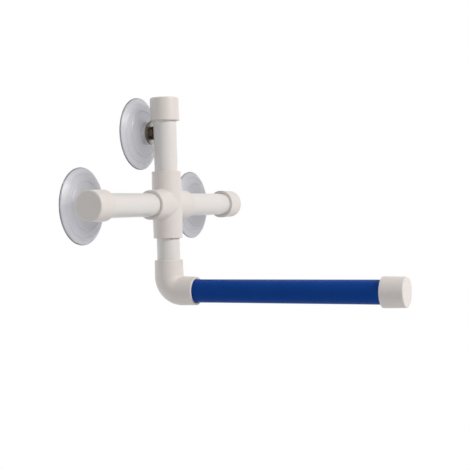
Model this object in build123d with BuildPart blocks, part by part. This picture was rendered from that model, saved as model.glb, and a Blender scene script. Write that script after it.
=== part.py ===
"""Wall perch for a pet bird: 20 mm pipe, push-on fittings and three suction cups.

Millimetres. +Z is up and +Y points into the wall. The origin lies on the wall plane, behind
the middle of the cross fitting. The arms run along X and the perch runs out along -Y.
"""

import os
from math import sqrt

from build123d import *

# Pipe
pipe_diameter = 20.0
pipe_wall = 2.0
pipe_end_chamfer = 0.5
riser_length = 76.0
arm_length = 105.0
drop_length = 51.0
perch_length = 200.0

# Sockets of the fittings
socket_depth = 16.0
socket_lead_in = 0.6
push_fit_gap = 0.04
swivel_gap = 0.08
swivel_end_gap = 0.3
rim_round = 0.5

# Cross fitting
cross_stop = 13.0
cross_body_diameter = 25.8
cross_barrel_taper = 0.5
cross_rim_diameter = cross_body_diameter - cross_barrel_taper
cross_crease_round = 1.5

# Elbow fitting
elbow_stop = 11.0
elbow_body_diameter = 25.2
elbow_rim_diameter = 24.6
elbow_inner_corner = 0.3

# Caps
cap_end_wall = 4.0
cap_rim_diameter = 25.5
cap_end_diameter = 24.8
cap_end_round = 1.2

# Suction cups
wall_to_pipe_axis = 27.0
cup_from_cap_end = 30.0
cup_diameter = 63.0
cup_seal_width = 2.0
cup_lip = 1.2
cup_lip_round = 0.5
cup_cavity_depth = 7.5
cup_dome_height = 9.2
cup_ring_diameters = (52.0, 40.0)
cup_ring_width = 1.2
cup_ring_height = 0.35
boss_diameter = 19.0
boss_root_round = 2.0
boss_edge_round = 0.5
stud_head_cover = 2.0
insert_gap = 0.05

# Steel hardware of a cup
stud_diameter = 6.0
stud_beyond_nut = 1.5
stud_end_chamfer = 0.7
stud_head_diameter = 12.0
stud_head_thickness = 1.5
nut_across_flats = 10.0
back_nut_thickness = 3.2
inner_nut_thickness = 5.0
nut_corner_chamfer = 0.8
nut_chamfer_slope = 0.6
back_washer_diameter = 20.0
back_washer_thickness = 1.2
inner_washer_diameter = 12.0
inner_washer_thickness = 1.6
washer_hole_diameter = 6.4
thread_gap = 0.04
pipe_hole_diameter = 6.6

# Sizes that follow
pipe_radius = pipe_diameter / 2
bore_radius = pipe_radius - pipe_wall
cross_reach = cross_stop + socket_depth
elbow_reach = elbow_stop + socket_depth
axis_y = -wall_to_pipe_axis
cross_centre = Vector(0, axis_y, 0)
elbow_centre = cross_centre - Vector(0, 0, cross_stop + drop_length + elbow_stop)
stud_radius = stud_diameter / 2
nut_corner_radius = nut_across_flats / sqrt(3)

# Heights of a cup's hardware, measured from the wall
back_nut_back_height = wall_to_pipe_axis - pipe_radius - back_nut_thickness
boss_end_height = back_nut_back_height - back_washer_thickness
head_front_height = boss_end_height - stud_head_cover
head_back_height = head_front_height - stud_head_thickness
washer_half_chord = sqrt(bore_radius**2 - (inner_washer_diameter / 2) ** 2)
inner_washer_back_height = wall_to_pipe_axis - washer_half_chord + push_fit_gap
inner_nut_back_height = inner_washer_back_height + inner_washer_thickness
stud_end_height = inner_nut_back_height + inner_nut_thickness + stud_beyond_nut

up = Vector(0, 0, 1)
down = Vector(0, 0, -1)
left = Vector(-1, 0, 0)
right = Vector(1, 0, 0)
outward = Vector(0, -1, 0)


def side_of(direction):
    """A unit vector square to a run of pipe."""
    return outward.cross(direction) if abs(direction.Y) < 0.5 else right


def section_plane(start, direction):
    """The plane of a turned section: local X is the radius, local Y runs along the axis."""
    side = side_of(direction)
    return Plane(origin=start, x_dir=side, z_dir=side.cross(direction))


def save(piece, name):
    """Label one finished piece and write its file."""
    piece.part.label = name
    export_step(piece.part, f"parts/{name}.step")


def make_pipe(name, start, direction, length, hole_distance=None):
    """A length of pipe, with a hole in its back wall where a cup's stud comes through."""
    with BuildPart() as pipe:
        with BuildSketch(Plane(origin=start, x_dir=side_of(direction), z_dir=direction)):
            Circle(pipe_radius)
        extrude(amount=length)
        rims = pipe.edges().filter_by(GeomType.CIRCLE)
        chamfer(rims, pipe_end_chamfer)
        with BuildSketch(Plane(origin=start, x_dir=side_of(direction), z_dir=direction)):
            Circle(bore_radius)
        extrude(amount=length, mode=Mode.SUBTRACT)
        if hole_distance:
            hole_start = start + direction * hole_distance
            with BuildSketch(Plane(origin=hole_start, x_dir=direction, z_dir=-outward)):
                Circle(pipe_hole_diameter / 2)
            extrude(amount=pipe_diameter, mode=Mode.SUBTRACT)
    save(pipe, name)


def socket_section(mouth, direction, gap):
    """Half the section of a pipe socket, from its mouth back along its run."""
    radius = pipe_radius + gap
    with BuildSketch(section_plane(mouth, direction)) as section:
        with BuildLine():
            Polyline(
                (0, -socket_depth),
                (radius, -socket_depth),
                (radius, -socket_lead_in),
                (radius + socket_lead_in, 0),
                (0, 0),
                close=True,
            )
        make_face()
    return section.sketch


def make_cross():
    """The cross: two tapered barrels, four sockets and a waterway that joins them."""
    body_radius = cross_body_diameter / 2
    rim_radius = cross_rim_diameter / 2
    with BuildPart() as cross:
        for direction in (up, right):
            with BuildSketch(section_plane(cross_centre, direction)):
                with BuildLine():
                    Polyline(
                        (0, -cross_reach),
                        (rim_radius, -cross_reach),
                        (body_radius, -body_radius),
                        (body_radius, body_radius),
                        (rim_radius, cross_reach),
                        (0, cross_reach),
                        close=True,
                    )
                make_face()
            revolve(axis=Axis(cross_centre, direction))
        creases = cross.edges().filter_by(GeomType.ELLIPSE)
        fillet(creases, cross_crease_round)
        rims = cross.edges().filter_by(GeomType.CIRCLE)
        rims = rims.filter_by(lambda edge: abs(edge.radius - rim_radius) < 0.01)
        fillet(rims, rim_round)
        for direction in (up, right):
            with BuildSketch(Plane(origin=cross_centre, z_dir=direction)):
                Circle(bore_radius)
            extrude(amount=cross_reach, both=True, mode=Mode.SUBTRACT)
        for direction in (up, down, left, right):
            mouth = cross_centre + direction * cross_reach
            gap = swivel_gap if direction is down else push_fit_gap
            socket = socket_section(mouth, direction, gap)
            revolve(socket, axis=Axis(mouth, direction), mode=Mode.SUBTRACT)
    save(cross, "cross_fitting")


def make_elbow():
    """The elbow: two tapered barrels on a quarter bend that turns about the inner corner."""
    body_radius = elbow_body_diameter / 2
    rim_radius = elbow_rim_diameter / 2
    bend_radius = body_radius + elbow_inner_corner
    bend_axis = Axis(elbow_centre + (up + outward) * bend_radius, left)
    with BuildPart() as elbow:
        with BuildSketch(Plane(origin=elbow_centre + up * bend_radius, z_dir=up)):
            Circle(body_radius)
        revolve(axis=bend_axis, revolution_arc=90)
        for direction in (up, outward):
            with BuildSketch(section_plane(elbow_centre, direction)):
                with BuildLine():
                    Polyline(
                        (0, bend_radius),
                        (body_radius, bend_radius),
                        (rim_radius, elbow_reach),
                        (0, elbow_reach),
                        close=True,
                    )
                make_face()
            revolve(axis=Axis(elbow_centre, direction))
        rims = elbow.edges().filter_by(GeomType.CIRCLE)
        rims = rims.filter_by(lambda edge: abs(edge.radius - rim_radius) < 0.01)
        fillet(rims, rim_round)
        with BuildSketch(Plane(origin=elbow_centre + up * bend_radius, z_dir=up)):
            Circle(bore_radius)
        revolve(axis=bend_axis, revolution_arc=90, mode=Mode.SUBTRACT)
        for direction in (up, outward):
            mouth = elbow_centre + direction * elbow_reach
            socket = socket_section(mouth, direction, push_fit_gap)
            revolve(socket, axis=Axis(mouth, direction), mode=Mode.SUBTRACT)
    save(elbow, "elbow_fitting")


def make_cap(name, pipe_end, direction):
    """A push-on cap whose socket bottoms on the end of its pipe."""
    mouth = pipe_end - direction * socket_depth
    length = socket_depth + cap_end_wall
    end_radius = cap_end_diameter / 2
    with BuildPart() as cap:
        with BuildSketch(section_plane(mouth, direction)):
            with BuildLine():
                Polyline(
                    (0, 0),
                    (cap_rim_diameter / 2, 0),
                    (end_radius, length),
                    (0, length),
                    close=True,
                )
            make_face()
        revolve(axis=Axis(mouth, direction))
        rims = cap.edges().filter_by(GeomType.CIRCLE).sort_by(Axis(mouth, direction))
        fillet(rims[-1], cap_end_round)
        fillet(rims[0], rim_round)
        socket = socket_section(mouth, -direction, push_fit_gap)
        revolve(socket, axis=Axis(mouth, direction), mode=Mode.SUBTRACT)
    save(cap, name)


def dome_radius(base_radius, height):
    """Radius of the sphere that spans a base circle and rises to a height on its axis."""
    return (base_radius**2 + height**2) / (2 * height)


def dome_height_at(radius, base_radius, height):
    """Height of that sphere above its base, at a radius from the axis."""
    sphere = dome_radius(base_radius, height)
    return sqrt(sphere**2 - radius**2) - (sphere - height)


def make_suction_cup(name, foot):
    """A clear cup: thin domed dish with a flat sealing lip, and a boss moulded round a stud."""
    rim_radius = cup_diameter / 2
    seal_radius = rim_radius - cup_seal_width
    boss_radius = boss_diameter / 2
    dome_rise = cup_dome_height - cup_lip
    root_height = cup_lip + dome_height_at(boss_radius, rim_radius, dome_rise)
    axis = Axis(foot, outward)
    with BuildPart() as cup:
        with BuildSketch(section_plane(foot, outward)):
            with BuildLine():
                Line((seal_radius, 0), (rim_radius, 0))
                Line((rim_radius, 0), (rim_radius, cup_lip))
                RadiusArc(
                    (rim_radius, cup_lip),
                    (boss_radius, root_height),
                    -dome_radius(rim_radius, dome_rise),
                )
                Line((boss_radius, root_height), (boss_radius, boss_end_height))
                Line((boss_radius, boss_end_height), (0, boss_end_height))
                Line((0, boss_end_height), (0, cup_cavity_depth))
                RadiusArc(
                    (0, cup_cavity_depth),
                    (seal_radius, 0),
                    dome_radius(seal_radius, cup_cavity_depth),
                )
            make_face()
        revolve(axis=axis)
        circles = cup.edges().filter_by(GeomType.CIRCLE)
        boss_circles = circles.filter_by(lambda edge: abs(edge.radius - boss_radius) < 0.01)
        boss_circles = boss_circles.sort_by(axis)
        fillet(boss_circles[-1], boss_edge_round)
        fillet(boss_circles[0], boss_root_round)
        lip = cup.edges().filter_by(GeomType.CIRCLE)
        lip = lip.filter_by(lambda edge: abs(edge.radius - rim_radius) < 0.01)
        fillet(lip.sort_by(axis)[-1], cup_lip_round)
        for ring_diameter in cup_ring_diameters:
            ring_radius = ring_diameter / 2
            ring_height = cup_lip + dome_height_at(ring_radius, rim_radius, dome_rise)
            with BuildSketch(section_plane(foot, outward)):
                with Locations((ring_radius, ring_height)):
                    Ellipse(cup_ring_width, cup_ring_height)
            revolve(axis=axis)
        # The pocket that the stud and its head fill
        with BuildSketch(Plane(origin=foot + outward * head_back_height, z_dir=outward)):
            Circle(stud_head_diameter / 2 + insert_gap)
        extrude(amount=stud_head_thickness, mode=Mode.SUBTRACT)
        with BuildSketch(Plane(origin=foot + outward * head_back_height, z_dir=outward)):
            Circle(stud_radius + insert_gap)
        extrude(amount=boss_end_height - head_back_height, mode=Mode.SUBTRACT)
    save(cup, name)


def make_stud(name, foot):
    """A threaded stud with the flat head that is moulded into the boss."""
    with BuildPart() as stud:
        with BuildSketch(section_plane(foot, outward)):
            with BuildLine():
                Polyline(
                    (0, head_back_height),
                    (stud_head_diameter / 2, head_back_height),
                    (stud_head_diameter / 2, head_front_height),
                    (stud_radius, head_front_height),
                    (stud_radius, stud_end_height - stud_end_chamfer),
                    (stud_radius - stud_end_chamfer, stud_end_height),
                    (0, stud_end_height),
                    close=True,
                )
            make_face()
        revolve(axis=Axis(foot, outward))
    save(stud, name)


def make_nut(name, foot, back_height, thickness):
    """A hex nut with turned corners, its corners up and down."""
    back = foot + outward * back_height
    bore = stud_radius + thread_gap
    end_radius = nut_corner_radius - nut_corner_chamfer
    chamfer_height = nut_corner_chamfer * nut_chamfer_slope
    with BuildPart() as nut:
        with BuildSketch(Plane(origin=back, x_dir=up, z_dir=outward)):
            RegularPolygon(nut_corner_radius, 6)
        extrude(amount=thickness)
        with BuildSketch(section_plane(back, outward)):
            with BuildLine():
                Polyline(
                    (bore, 0),
                    (end_radius, 0),
                    (nut_corner_radius, chamfer_height),
                    (nut_corner_radius, thickness - chamfer_height),
                    (end_radius, thickness),
                    (bore, thickness),
                    close=True,
                )
            make_face()
        revolve(axis=Axis(back, outward), mode=Mode.INTERSECT)
    save(nut, name)


def make_washer(name, foot, back_height, diameter, thickness):
    """A plain round washer on a stud."""
    with BuildPart() as washer:
        with BuildSketch(Plane(origin=foot + outward * back_height, z_dir=outward)):
            Circle(diameter / 2)
            Circle(washer_hole_diameter / 2, mode=Mode.SUBTRACT)
        extrude(amount=thickness)
    save(washer, name)


os.makedirs("parts", exist_ok=True)

make_cross()
make_elbow()

# The three white runs that carry a cup, each with its pipe, cap and cup hardware
cup_runs = {"top": (up, riser_length), "left": (left, arm_length), "right": (right, arm_length)}
pipe_names = {"top": "riser_pipe", "left": "left_arm_pipe", "right": "right_arm_pipe"}
for place, (direction, length) in cup_runs.items():
    start = cross_centre + direction * cross_stop
    hole_distance = length + cap_end_wall - cup_from_cap_end
    foot = start + direction * hole_distance - Vector(0, axis_y, 0)
    make_pipe(pipe_names[place], start, direction, length, hole_distance)
    make_cap(f"{place}_cap", start + direction * length, direction)
    make_suction_cup(f"{place}_suction_cup", foot)
    make_stud(f"{place}_cup_stud", foot)
    make_washer(
        f"{place}_back_washer",
        foot,
        boss_end_height,
        back_washer_diameter,
        back_washer_thickness,
    )
    make_nut(f"{place}_back_nut", foot, back_nut_back_height, back_nut_thickness)
    make_washer(
        f"{place}_inner_washer",
        foot,
        inner_washer_back_height,
        inner_washer_diameter,
        inner_washer_thickness,
    )
    make_nut(f"{place}_inner_nut", foot, inner_nut_back_height, inner_nut_thickness)

# The drop pipe turns in the lower socket of the cross and carries the elbow and the perch
drop_start = cross_centre + down * (cross_stop + swivel_end_gap)
make_pipe("drop_pipe", drop_start, down, drop_length - swivel_end_gap)
perch_start = elbow_centre + outward * elbow_stop
make_pipe("perch_bar", perch_start, outward, perch_length)
make_cap("perch_end_cap", perch_start + outward * perch_length, outward)
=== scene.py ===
"""The bird shower perch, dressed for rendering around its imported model.

Lengths are metres in the model's own frame: the origin is on the wall plane behind the middle
of the cross fitting, +Y points into the wall, and the perch runs out along -Y.
"""

from math import cos, pi, radians, sin, sqrt

import bpy
from mathutils import Matrix, Vector


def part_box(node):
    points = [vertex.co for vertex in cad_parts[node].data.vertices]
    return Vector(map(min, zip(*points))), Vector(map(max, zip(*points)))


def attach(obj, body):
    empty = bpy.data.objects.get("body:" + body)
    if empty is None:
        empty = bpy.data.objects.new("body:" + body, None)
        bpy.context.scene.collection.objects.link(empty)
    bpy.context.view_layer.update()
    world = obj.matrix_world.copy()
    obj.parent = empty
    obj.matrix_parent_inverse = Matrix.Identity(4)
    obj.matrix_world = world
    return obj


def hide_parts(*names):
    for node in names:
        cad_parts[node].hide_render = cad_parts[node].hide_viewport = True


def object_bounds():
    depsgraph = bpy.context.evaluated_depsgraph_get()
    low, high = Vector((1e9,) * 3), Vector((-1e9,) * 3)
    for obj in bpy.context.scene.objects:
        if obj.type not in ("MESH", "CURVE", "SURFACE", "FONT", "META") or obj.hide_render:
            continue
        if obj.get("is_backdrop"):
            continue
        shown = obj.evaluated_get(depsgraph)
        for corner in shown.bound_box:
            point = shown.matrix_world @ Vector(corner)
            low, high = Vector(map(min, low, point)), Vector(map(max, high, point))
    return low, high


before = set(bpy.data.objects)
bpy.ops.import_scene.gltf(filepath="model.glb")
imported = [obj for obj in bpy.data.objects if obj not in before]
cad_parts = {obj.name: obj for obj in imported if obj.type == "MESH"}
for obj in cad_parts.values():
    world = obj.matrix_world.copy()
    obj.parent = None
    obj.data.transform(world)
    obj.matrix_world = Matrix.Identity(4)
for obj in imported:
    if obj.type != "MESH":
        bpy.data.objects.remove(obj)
cad_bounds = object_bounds()

MM = 0.001
AXIS_FROM_WALL = 27.0 * MM

# The clear suction cups, as the model has them
CUP_RADIUS = 31.5 * MM
CUP_LIP = 1.2 * MM
CUP_LIP_ROUND = 0.5 * MM
CUP_FOOT_EDGE = 0.25 * MM
SEAL_RADIUS = 29.5 * MM
CAVITY_DEPTH = 7.5 * MM
DOME_HEIGHT = 9.2 * MM
MOULD_RINGS = (20.0 * MM, 26.0 * MM)
MOULD_RING_WIDTH = 1.2 * MM
MOULD_RING_HEIGHT = 0.35 * MM
BOSS_RADIUS = 9.5 * MM
BOSS_ROOT_ROUND = 2.0 * MM
BOSS_EDGE_ROUND = 0.5 * MM
BOSS_END = 12.6 * MM

# Faint turning marks on the dish, which fade towards the rim and towards the boss
RIPPLE_SPACING = 2.3 * MM
RIPPLE_HEIGHT = 0.006 * MM
RIPPLE_RIM_FADE = 4.0 * MM
RIPPLE_BOSS_FADE = 8.0 * MM

# The steel studs, as distances from the wall and radii
HEAD_BACK = 9.1 * MM
HEAD_FRONT = 10.6 * MM
HEAD_RADIUS = 6.0 * MM
STUD_RADIUS = 3.0 * MM
STUD_EDGE = 0.2 * MM
STUD_END = 29.848 * MM
STUD_END_RADIUS = 2.2 * MM
THREAD_START = HEAD_FRONT + 0.6 * MM
THREAD_END = STUD_END - 0.7 * MM
THREAD_PITCH = 1.0 * MM
THREAD_DEPTH = 0.55 * MM

# How finely the turned forms are divided: points round them, and rings along their stretches
CUP_POINTS = 144
HOLLOW_RINGS = 14
DISH_RINGS = 96
ROOT_RINGS = 7
EDGE_RINGS = 5
BOSS_FACE_RINGS = 6
STUD_POINTS = 32
THREAD_TURN_RINGS = 8

# The two tints that each plastic wanders between
MOULDED_TINTS = ((0.80, 0.757, 0.728), (0.84, 0.80, 0.772))
PIPE_TINTS = ((0.81, 0.797, 0.778), (0.84, 0.828, 0.812))
BLUE_TINTS = ((0.001, 0.048, 0.28), (0.003, 0.063, 0.34))
WHITE_IOR = 1.53

# The tints of each steel piece: its sides, then its faces that look along Y
STUD_TINTS = ((0.72, 0.69, 0.66), (0.82, 0.79, 0.76))
WASHER_TINTS = ((0.17, 0.145, 0.12), (0.50, 0.47, 0.44))
NUT_TINTS = ((0.10, 0.08, 0.065), (0.18, 0.15, 0.13))

# The clear plastic's painted light and shade: a share of the cup's radius and the brightness
# painted there, from the boss out.
# The boss gets a painted highlight. The middle is darker, partly because the plastic is thicker
# there and partly as painted shade.
# A lighter painted band lies inside the rim, and the rim itself gets painted shade.
BOSS_PAINTED_HIGHLIGHT = (0.305, 0.80)
MIDDLE_THICK_AND_PAINTED_SHADE = (0.35, 0.48)
SKIRT_PAINTED_LIGHT = (0.975, 0.67)
RIM_PAINTED_SHADE = (0.992, 0.30)

# Painted brightness beside each moulded ring, the share of it left on the ring's line as painted
# shade, half the width of that line as a share of the cup's radius, and how much bluer than red
# the plastic is
RING_PAINTED_GREYS = (0.55, 0.61)
RING_SHADE = 0.87
RING_LINE = 0.014
LAVENDER_BLUE = 1.07

# The camera that the photograph was taken with, as found from its outlines
CAMERA_AZIMUTH = radians(-63.66)
CAMERA_ELEVATION = radians(1.18)
CAMERA_ROLL = radians(-1.63)
CAMERA_DISTANCE = 0.96088
CAMERA_RIGHT = 0.05907
CAMERA_UP = -0.02636
FOCAL_PIXELS = 1102.82
PHOTO_PIXELS = 470
SENSOR_MM = 36.0

# The floor, and how far from its middle it starts and ends fading into the white around it
FLOOR_DROP = 0.55
FLOOR_REACH = 2.2
FLOOR_MIDDLE = -0.1
FLOOR_SIDES = 96
FLOOR_FADE_START = 0.35
FLOOR_FADE_END = 1.3
FLOOR_GREY = 0.8
FLOOR_ROUGHNESS = 0.9

# The soft light from the wall's side, and the lamp that stands high in front
WALL_GLOW = 0.85
KEY_PLACE = (0.0, -2.4, 1.25)
KEY_AIM = (0.0, -0.1, 0.0)
KEY_SIZE = 0.6
KEY_WATTS = 48.5
KEY_COLOUR = (1.0, 0.95, 0.92)


def link(obj):
    bpy.context.scene.collection.objects.link(obj)
    return obj


def smooth_mesh(name, vertices, faces):
    mesh = bpy.data.meshes.new(name)
    mesh.from_pydata(vertices, [], faces)
    mesh.validate()
    mesh.polygons.foreach_set("use_smooth", [True] * len(mesh.polygons))
    return link(bpy.data.objects.new(name, mesh))


def turned(name, rings, steps, point):
    """A closed form turned about its own Y axis, from one pole to the other.

    point(ring, angle) places a vertex. Ring -1 is the first pole and ring `rings` the last.
    """
    vertices = [point(-1, 0.0)]
    for ring in range(rings):
        vertices += [point(ring, 2 * pi * step / steps) for step in range(steps)]
    vertices.append(point(rings, 0.0))
    last = len(vertices) - 1
    faces = []
    for step in range(steps):
        after = (step + 1) % steps
        faces.append((0, 1 + after, 1 + step))
        faces.append((last, last - steps + step, last - steps + after))
        for ring in range(rings - 1):
            low = 1 + ring * steps
            high = low + steps
            faces.append((low + step, low + after, high + after, high + step))
    return smooth_mesh(name, vertices, faces)


# Materials


class Surface:
    """A Principled material whose nodes read the object's own coordinates."""

    def __init__(self, name, **sockets):
        self.material = bpy.data.materials.new(name)
        self.material.use_nodes = True
        self.tree = self.material.node_tree
        self.shader = self.tree.nodes["Principled BSDF"]
        for socket, value in sockets.items():
            self.shader.inputs[socket.replace("_", " ")].default_value = value
        coordinates = self.tree.nodes.new("ShaderNodeTexCoord")
        self.place = coordinates.outputs["Object"]
        self.normal = coordinates.outputs["Normal"]

    def connect(self, socket, source):
        self.tree.links.new(source, self.shader.inputs[socket])

    def noise(self, scale, detail=2.0, stretch=(1, 1, 1)):
        """Noise of a number of cells per metre, stretched along the axes."""
        spread = self.tree.nodes.new("ShaderNodeMapping")
        spread.inputs["Scale"].default_value = stretch
        self.tree.links.new(self.place, spread.inputs["Vector"])
        made = self.tree.nodes.new("ShaderNodeTexNoise")
        made.inputs["Scale"].default_value = scale
        made.inputs["Detail"].default_value = detail
        self.tree.links.new(spread.outputs["Vector"], made.inputs["Vector"])
        return made.outputs["Fac"]

    def between(self, value, low, high, start=0.3, end=0.7):
        """A number that runs from low to high as the value runs from start to end."""
        made = self.tree.nodes.new("ShaderNodeMapRange")
        made.inputs["From Min"].default_value = start
        made.inputs["From Max"].default_value = end
        made.inputs["To Min"].default_value = low
        made.inputs["To Max"].default_value = high
        self.tree.links.new(value, made.inputs["Value"])
        return made.outputs["Result"]

    def blend(self, fac, first, second):
        """One colour mixed into another."""
        made = self.tree.nodes.new("ShaderNodeMix")
        made.data_type = "RGBA"
        colours = [socket for socket in made.inputs if socket.type == "RGBA"]
        colours[0].default_value = (*first, 1)
        colours[1].default_value = (*second, 1)
        self.tree.links.new(fac, made.inputs["Factor"])
        return next(socket for socket in made.outputs if socket.type == "RGBA")

    def bump(self, height, distance, strength, under=None):
        """A normal that a height tilts, on top of another bump where one is given."""
        made = self.tree.nodes.new("ShaderNodeBump")
        made.inputs["Distance"].default_value = distance
        made.inputs["Strength"].default_value = strength
        self.tree.links.new(height, made.inputs["Height"])
        if under:
            self.tree.links.new(under, made.inputs["Normal"])
        return made.outputs["Normal"]

    def along(self, vector, axis):
        """The share of a vector along one axis."""
        split = self.tree.nodes.new("ShaderNodeSeparateXYZ")
        self.tree.links.new(vector, split.inputs["Vector"])
        return split.outputs[axis]

    def apart(self, value, place):
        """How far a value lies from a place, to either side."""
        gap = self.tree.nodes.new("ShaderNodeMath")
        gap.operation = "SUBTRACT"
        gap.inputs[1].default_value = place
        self.tree.links.new(value, gap.inputs[0])
        size = self.tree.nodes.new("ShaderNodeMath")
        size.operation = "ABSOLUTE"
        self.tree.links.new(gap.outputs[0], size.inputs[0])
        return size.outputs[0]

    def seam(self, axis, place, width):
        """1 on the plane where two mould halves met, fading to 0 beside it."""
        return self.between(self.apart(self.along(self.place, axis), place), 1.0, 0.0, 0.0, width)

    def facing(self, axis):
        """1 where the surface faces straight along an axis, 0 where it runs beside it."""
        return self.apart(self.along(self.normal, axis), 0.0)

    def distance_from_axis(self):
        """Distance from the object's own Y axis."""
        flat = self.tree.nodes.new("ShaderNodeVectorMath")
        flat.operation = "MULTIPLY"
        flat.inputs[1].default_value = (1, 0, 1)
        self.tree.links.new(self.place, flat.inputs[0])
        length = self.tree.nodes.new("ShaderNodeVectorMath")
        length.operation = "LENGTH"
        self.tree.links.new(flat.outputs["Vector"], length.inputs[0])
        return length.outputs["Value"]

    def ramp(self, value, stops):
        """The colour at a value, from stops of a value and its colour."""
        made = self.tree.nodes.new("ShaderNodeValToRGB")
        elements = made.color_ramp.elements
        for index, (place, colour) in enumerate(stops):
            element = elements[index] if index < 2 else elements.new(place)
            element.position = place
            element.color = (*colour, 1)
        self.tree.links.new(value, made.inputs["Fac"])
        return made.outputs["Color"]


def moulded_white(name, seam=None):
    """Warm white moulded plastic: faint flow marks, a fine skin and a mould seam.

    seam is the axis that the mould opened along, and the place on it where the halves met.
    """
    skin = Surface(name, IOR=WHITE_IOR)
    flow = skin.noise(scale=38.0, detail=3.0)
    grain = skin.noise(scale=2600.0, detail=1.0)
    skin.connect("Base Color", skin.blend(flow, *MOULDED_TINTS))
    skin.connect("Roughness", skin.between(skin.noise(scale=160.0), 0.32, 0.46))
    normal = skin.bump(flow, distance=0.15 * MM, strength=0.25)
    normal = skin.bump(grain, distance=0.012 * MM, strength=0.5, under=normal)
    if seam:
        line = skin.seam(*seam, width=0.2 * MM)
        normal = skin.bump(line, distance=0.06 * MM, strength=0.8, under=normal)
    skin.connect("Normal", normal)
    return skin.material


def extruded_white(name, stretch):
    """White pipe with fine die lines that run along it."""
    skin = Surface(name, IOR=WHITE_IOR)
    lines = skin.noise(scale=700.0, stretch=stretch)
    skin.connect("Base Color", skin.blend(skin.noise(scale=45.0), *PIPE_TINTS))
    skin.connect("Roughness", skin.between(lines, 0.27, 0.40))
    skin.connect("Normal", skin.bump(lines, distance=0.02 * MM, strength=0.5))
    return skin.material


def blue_grip():
    """Deep blue satin pipe with fine lengthwise streaks."""
    skin = Surface("blue_pipe", IOR=1.5, Specular_IOR_Level=0.08)
    lines = skin.noise(scale=900.0, stretch=(1, 0.03, 1))
    cloud = skin.noise(scale=60.0, detail=3.0)
    skin.connect("Base Color", skin.blend(cloud, *BLUE_TINTS))
    skin.connect("Roughness", skin.between(lines, 0.30, 0.44))
    skin.connect("Normal", skin.bump(lines, distance=0.02 * MM, strength=0.5))
    return skin.material


def cup_painted_light_stops():
    """Painted light and shade from the cup's axis out to its rim, with a painted shade line along
    each moulded ring.
    """
    painted_greys = [BOSS_PAINTED_HIGHLIGHT, MIDDLE_THICK_AND_PAINTED_SHADE]
    for ring, level in zip(MOULD_RINGS, RING_PAINTED_GREYS):
        place = ring / CUP_RADIUS
        # Each moulded ring gets a line of painted shade
        painted_greys.append((place - RING_LINE, level))
        painted_greys.append((place, RING_SHADE * level))
        painted_greys.append((place + RING_LINE, level))
    painted_greys += [SKIRT_PAINTED_LIGHT, RIM_PAINTED_SHADE]
    return [(place, (level, level, level * LAVENDER_BLUE)) for place, level in painted_greys]


def clear_soft():
    """Clear soft plastic, hazed, with a painted highlight on the boss, a darker middle that is
    partly thicker plastic and partly painted shade, and painted shade at the rim.
    """
    skin = Surface("clear_soft_pvc", IOR=1.5, Transmission_Weight=0.92, Specular_IOR_Level=0.35)
    spread = skin.between(skin.distance_from_axis(), 0.0, 1.0, 0.0, CUP_RADIUS)
    # The base colour paints the cup's light and shade by distance from its axis
    skin.connect("Base Color", skin.ramp(spread, cup_painted_light_stops()))
    skin.connect("Roughness", skin.between(skin.noise(scale=90.0, detail=3.0), 0.32, 0.42))
    return skin.material


def zinc_steel(name, side_tint, face_tint):
    """Zinc-plated steel that is browner and darker on its sides than on its faces that look along
    Y.
    """
    skin = Surface(name, Metallic=1.0)
    wear = skin.noise(scale=500.0, detail=3.0)
    skin.connect("Base Color", skin.blend(skin.facing("Y"), side_tint, face_tint))
    skin.connect("Roughness", skin.between(skin.noise(scale=1500.0), 0.24, 0.44))
    skin.connect("Normal", skin.bump(wear, distance=0.03 * MM, strength=0.5))
    return skin.material


upright_white = extruded_white("pipe_white_upright", (1, 1, 0.03))
clear = clear_soft()
stud_steel = zinc_steel("stud_steel", *STUD_TINTS)
finishes = {
    "cross_fitting": moulded_white("cross_white", ("Y", -AXIS_FROM_WALL)),
    "elbow_fitting": moulded_white("elbow_white", ("X", 0.0)),
    "riser_pipe": upright_white,
    "drop_pipe": upright_white,
    "arm_pipe": extruded_white("pipe_white_across", (0.03, 1, 1)),
    "perch_bar": blue_grip(),
    "cap": moulded_white("cap_white"),
    "suction_cup": clear,
    "cup_stud": stud_steel,
    "washer": zinc_steel("washer_steel", *WASHER_TINTS),
    "nut": zinc_steel("nut_steel", *NUT_TINTS),
}


def finish_of(name):
    """The material of a node, by the kind of piece that its name ends in."""
    return next(finish for kind, finish in finishes.items() if name.endswith(kind))


for node_name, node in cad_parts.items():
    node.data.materials.clear()
    node.data.materials.append(finish_of(node_name))


# Suction cups and studs


def dome_over(radius, base, height):
    """Height of a shallow dome above its base circle, at a radius from its axis."""
    sphere = (base**2 + height**2) / (2 * height)
    return sqrt(sphere**2 - radius**2) - (sphere - height)


def dish_top(radius):
    """The outside of the dish, with its two moulded rings and faint turning marks."""
    height = CUP_LIP + dome_over(radius, CUP_RADIUS, DOME_HEIGHT - CUP_LIP)
    from_rim = (CUP_RADIUS - radius) / RIPPLE_RIM_FADE
    from_boss = (radius - BOSS_RADIUS) / RIPPLE_BOSS_FADE
    fade = min(1.0, from_rim, from_boss)
    height -= RIPPLE_HEIGHT * fade * (1 + cos(2 * pi * radius / RIPPLE_SPACING))
    for ring in MOULD_RINGS:
        reach = abs(radius - ring) / MOULD_RING_WIDTH
        if reach < 1:
            height += MOULD_RING_HEIGHT * (1 - reach**2) ** 1.5
    return height


def quarter_round(radius, height, size):
    """Points of a quarter round, from (radius, height - size) over to (radius - size, height)."""
    turns = [0.5 * pi * ring / EDGE_RINGS for ring in range(EDGE_RINGS + 1)]
    return [(radius - size * (1 - cos(t)), height - size * (1 - sin(t))) for t in turns]


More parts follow.
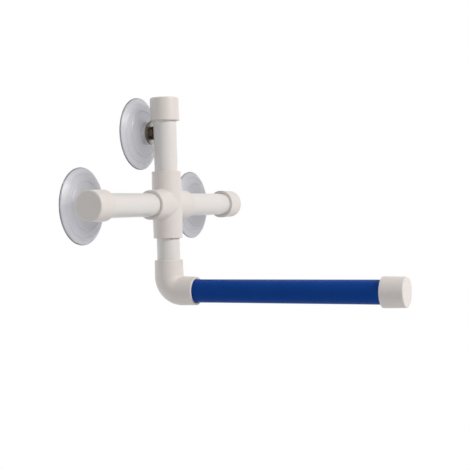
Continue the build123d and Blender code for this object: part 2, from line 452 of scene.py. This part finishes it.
def cup_profile():
    """Radius and height of the cup's rings, from its hollow out, over the dish to the boss."""
    points = []
    for ring in range(1, HOLLOW_RINGS + 1):
        radius = SEAL_RADIUS * ring / HOLLOW_RINGS
        points.append((radius, dome_over(radius, SEAL_RADIUS, CAVITY_DEPTH)))
    points += [(CUP_RADIUS - CUP_FOOT_EDGE, 0.0), (CUP_RADIUS, CUP_FOOT_EDGE)]
    points += quarter_round(CUP_RADIUS, CUP_LIP, CUP_LIP_ROUND)
    outer = CUP_RADIUS - CUP_LIP_ROUND
    inner = BOSS_RADIUS + BOSS_ROOT_ROUND
    for ring in range(1, DISH_RINGS + 1):
        radius = outer + (inner - outer) * ring / DISH_RINGS
        points.append((radius, dish_top(radius)))
    foot = points[-1][1]
    for ring in range(1, ROOT_RINGS + 1):
        turn = 0.5 * pi * ring / ROOT_RINGS
        rise = BOSS_ROOT_ROUND * (1 - cos(turn))
        points.append((inner - BOSS_ROOT_ROUND * sin(turn), foot + rise))
    points += quarter_round(BOSS_RADIUS, BOSS_END, BOSS_EDGE_ROUND)
    for ring in range(BOSS_FACE_RINGS - 1, 0, -1):
        points.append((BOSS_RADIUS * ring / BOSS_FACE_RINGS, BOSS_END))
    return points


def make_cup(name):
    """A clear cup that stands on its own origin and rises along -Y."""
    profile = cup_profile()

    def point(ring, angle):
        if ring < 0:
            return (0, -CAVITY_DEPTH, 0)
        if ring == len(profile):
            return (0, -BOSS_END, 0)
        radius, height = profile[ring]
        return (radius * cos(angle), -height, radius * sin(angle))

    return turned(name, len(profile), CUP_POINTS, point)


def make_stud(name):
    """A stud with a flat round head and a rolled thread, on its own origin."""
    head = [(HEAD_RADIUS - STUD_EDGE, HEAD_BACK), (HEAD_RADIUS, HEAD_BACK + STUD_EDGE)]
    head += [(HEAD_RADIUS, HEAD_FRONT - STUD_EDGE), (HEAD_RADIUS - STUD_EDGE, HEAD_FRONT)]
    head += [(STUD_RADIUS + STUD_EDGE, HEAD_FRONT), (STUD_RADIUS, HEAD_FRONT + STUD_EDGE)]
    thread_rings = int((THREAD_END - THREAD_START) / THREAD_PITCH * THREAD_TURN_RINGS)
    rings = len(head) + thread_rings + 1

    def point(ring, angle):
        if ring < 0:
            return (0, -HEAD_BACK, 0)
        if ring == rings:
            return (0, -STUD_END, 0)
        if ring < len(head):
            radius, height = head[ring]
        elif ring < rings - 1:
            height = THREAD_START + (ring - len(head)) * THREAD_PITCH / THREAD_TURN_RINGS
            phase = (height / THREAD_PITCH - angle / (2 * pi)) % 1
            fade = min(1.0, (height - THREAD_START) / THREAD_PITCH)
            radius = STUD_RADIUS - fade * THREAD_DEPTH * abs(2 * phase - 1)
        else:
            radius, height = STUD_END_RADIUS, STUD_END
        return (radius * cos(angle), -height, radius * sin(angle))

    return turned(name, rings, STUD_POINTS, point)


def stand_for(piece, node_name, place, material):
    """Put a piece where a node is and let it stand for that node."""
    piece.location = place
    piece.data.materials.append(material)
    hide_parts(node_name)
    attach(piece, "wall_frame")


for side in ("top", "left", "right"):
    low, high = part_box(f"{side}_suction_cup")
    cup_place = ((low.x + high.x) / 2, 0, (low.z + high.z) / 2)
    cup = make_cup(f"{side}_clear_cup")
    stand_for(cup, f"{side}_suction_cup", cup_place, clear)
    stud = make_stud(f"{side}_threaded_stud")
    stand_for(stud, f"{side}_cup_stud", cup_place, stud_steel)


# Stage, light and camera


def seen_directly(tree):
    """1 for a camera, glossy or transmitted ray, and 0 for the rest."""
    path = tree.nodes.new("ShaderNodeLightPath")
    total = path.outputs["Is Camera Ray"]
    for kind in ("Is Glossy Ray", "Is Transmission Ray"):
        either = tree.nodes.new("ShaderNodeMath")
        either.operation = "MAXIMUM"
        tree.links.new(total, either.inputs[0])
        tree.links.new(path.outputs[kind], either.inputs[1])
        total = either.outputs[0]
    return total


def floor_material():
    """Matt pale grey that turns to plain white away from the middle."""
    material = bpy.data.materials.new("floor")
    material.use_nodes = True
    tree = material.node_tree
    shader = tree.nodes["Principled BSDF"]
    shader.inputs["Base Color"].default_value = (FLOOR_GREY, FLOOR_GREY, FLOOR_GREY, 1)
    shader.inputs["Roughness"].default_value = FLOOR_ROUGHNESS
    white = tree.nodes.new("ShaderNodeEmission")
    place = tree.nodes.new("ShaderNodeTexCoord")
    length = tree.nodes.new("ShaderNodeVectorMath")
    length.operation = "LENGTH"
    tree.links.new(place.outputs["Object"], length.inputs[0])
    fade = tree.nodes.new("ShaderNodeMapRange")
    fade.interpolation_type = "SMOOTHSTEP"
    fade.inputs["From Min"].default_value = FLOOR_FADE_START
    fade.inputs["From Max"].default_value = FLOOR_FADE_END
    tree.links.new(length.outputs["Value"], fade.inputs["Value"])
    only = tree.nodes.new("ShaderNodeMath")
    only.operation = "MULTIPLY"
    tree.links.new(fade.outputs["Result"], only.inputs[0])
    tree.links.new(seen_directly(tree), only.inputs[1])
    mix = tree.nodes.new("ShaderNodeMixShader")
    tree.links.new(only.outputs[0], mix.inputs["Fac"])
    tree.links.new(shader.outputs["BSDF"], mix.inputs[1])
    tree.links.new(white.outputs["Emission"], mix.inputs[2])
    tree.links.new(mix.outputs["Shader"], tree.nodes["Material Output"].inputs["Surface"])
    return material


def make_floor():
    """A round floor well below the object."""
    angles = [2 * pi * step / FLOOR_SIDES for step in range(FLOOR_SIDES)]
    rim = [(FLOOR_REACH * cos(angle), FLOOR_REACH * sin(angle), 0) for angle in angles]
    floor = smooth_mesh("floor", rim, [tuple(range(FLOOR_SIDES))])
    floor.location = (0, FLOOR_MIDDLE, cad_bounds[0][2] - FLOOR_DROP)
    floor.data.materials.append(floor_material())
    floor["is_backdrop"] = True


def make_world():
    """White where it is seen, and a soft even light that is stronger from the wall's side."""
    world = bpy.data.worlds.new("studio")
    world.use_nodes = True
    bpy.context.scene.world = world
    tree = world.node_tree
    backdrop = tree.nodes["Background"]
    backdrop.inputs["Color"].default_value = (1, 1, 1, 1)
    place = tree.nodes.new("ShaderNodeTexCoord")
    split = tree.nodes.new("ShaderNodeSeparateXYZ")
    tree.links.new(place.outputs["Generated"], split.inputs["Vector"])
    glow = tree.nodes.new("ShaderNodeMapRange")
    glow.inputs["From Min"].default_value = -1.0
    glow.inputs["To Max"].default_value = WALL_GLOW
    tree.links.new(split.outputs["Y"], glow.inputs["Value"])
    strength = tree.nodes.new("ShaderNodeMapRange")
    tree.links.new(seen_directly(tree), strength.inputs["Value"])
    tree.links.new(glow.outputs["Result"], strength.inputs["To Min"])
    tree.links.new(strength.outputs["Result"], backdrop.inputs["Strength"])


def add_key_lamp():
    """A round lamp, high in front of the object."""
    lamp = bpy.data.lights.new("key", "AREA")
    lamp.shape = "DISK"
    lamp.size = KEY_SIZE
    lamp.energy = KEY_WATTS
    lamp.color = KEY_COLOUR
    key = link(bpy.data.objects.new("key", lamp))
    key.location = KEY_PLACE
    forward = Vector(KEY_AIM) - Vector(KEY_PLACE)
    key.rotation_euler = forward.to_track_quat("-Z", "Y").to_euler()


def add_camera():
    """The camera looks along -back, rolled a little, and is moved beside its aim."""
    back = Vector(
        (
            sin(CAMERA_AZIMUTH) * cos(CAMERA_ELEVATION),
            -cos(CAMERA_AZIMUTH) * cos(CAMERA_ELEVATION),
            sin(CAMERA_ELEVATION),
        )
    )
    level = (-back).cross(Vector((0, 0, 1))).normalized()
    upright = level.cross(-back)
    right = level * cos(CAMERA_ROLL) + upright * sin(CAMERA_ROLL)
    up = upright * cos(CAMERA_ROLL) - level * sin(CAMERA_ROLL)
    data = bpy.data.cameras.new("camera")
    data.sensor_width = SENSOR_MM
    data.lens = FOCAL_PIXELS * SENSOR_MM / PHOTO_PIXELS
    camera = link(bpy.data.objects.new("camera", data))
    aim = Vector((0, -AXIS_FROM_WALL, 0))
    place = aim + back * CAMERA_DISTANCE + right * CAMERA_RIGHT + up * CAMERA_UP
    turn = Matrix((right, up, back)).transposed().to_4x4()
    camera.matrix_world = Matrix.Translation(place) @ turn
    bpy.context.scene.camera = camera


make_floor()
make_world()
add_key_lamp()
add_camera()
bpy.context.scene.view_settings.view_transform = "Standard"

boxes = {"cad": cad_bounds, "visual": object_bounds()}
{name: [list(corner) for corner in box] for name, box in boxes.items()}
